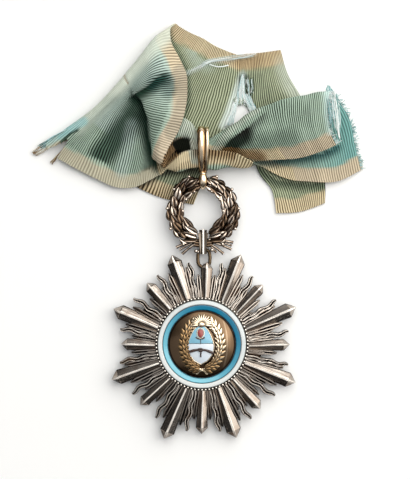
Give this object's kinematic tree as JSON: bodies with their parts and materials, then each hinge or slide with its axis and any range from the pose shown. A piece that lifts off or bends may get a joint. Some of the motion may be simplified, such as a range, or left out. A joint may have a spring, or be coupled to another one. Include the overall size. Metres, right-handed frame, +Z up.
{
  "type": "order insignia",
  "caption": "Neck badge lying flat: rayed star with enamelled medallion, laurel wreath suspension and a torn, folded ribbon through its bail.",
  "frame": {"origin": "centre of the round reverse disc's face, on the surface that the insignia lies on", "axes": "+Z up out of the front face, +Y from the star towards the ribbon's top, +X towards the ribbon's torn end"},
  "size_m": [0.1101, 0.145, 0.0105],
  "materials": {
    "star_silver": "cast and faceted silver, dull with tarnish between the rays",
    "reverse_silver": "plain turned silver, lightly worn",
    "rim_silver": "beaded silver edge, dark between the beads",
    "white_enamel": "fired enamel, glossy",
    "blue_enamel": "fired enamel, glossy",
    "dome_gilt": "polished gilt, darkened",
    "laurel_gilt": "cast gilt, worn bright on its high points",
    "shield_white": "fired enamel, glossy",
    "shield_blue": "fired enamel, glossy",
    "cap_red": "fired enamel, glossy",
    "hands_brown": "painted enamel, satin",
    "wreath_gilt": "cast gilt, brown with age in the hollows",
    "band_silver": "silver with a bright ridge",
    "bail_gilt": "bent and polished rose gilt",
    "ring_gilt": "drawn wire, dull",
    "ribbon_cloth": "ribbed grosgrain, faded sea green and blue with cream edges, worn and torn"
  },
  "bodies": {
    "root": {"rayed_star": "star_silver", "reverse_disc": "reverse_silver", "pearled_cup": "rim_silver", "white_enamel_ring": "white_enamel", "blue_enamel_ring": "blue_enamel", "centre_dome": "dome_gilt", "arms_laurel": "laurel_gilt", "shield_lower": "shield_white", "shield_upper": "shield_blue", "red_cap": "cap_red", "clasped_hands": "hands_brown", "suspension_wreath": "wreath_gilt", "wreath_band": "band_silver", "bail": "bail_gilt", "jump_ring": "ring_gilt", "ribbon": "ribbon_cloth"}
  },
  "joints": []
}
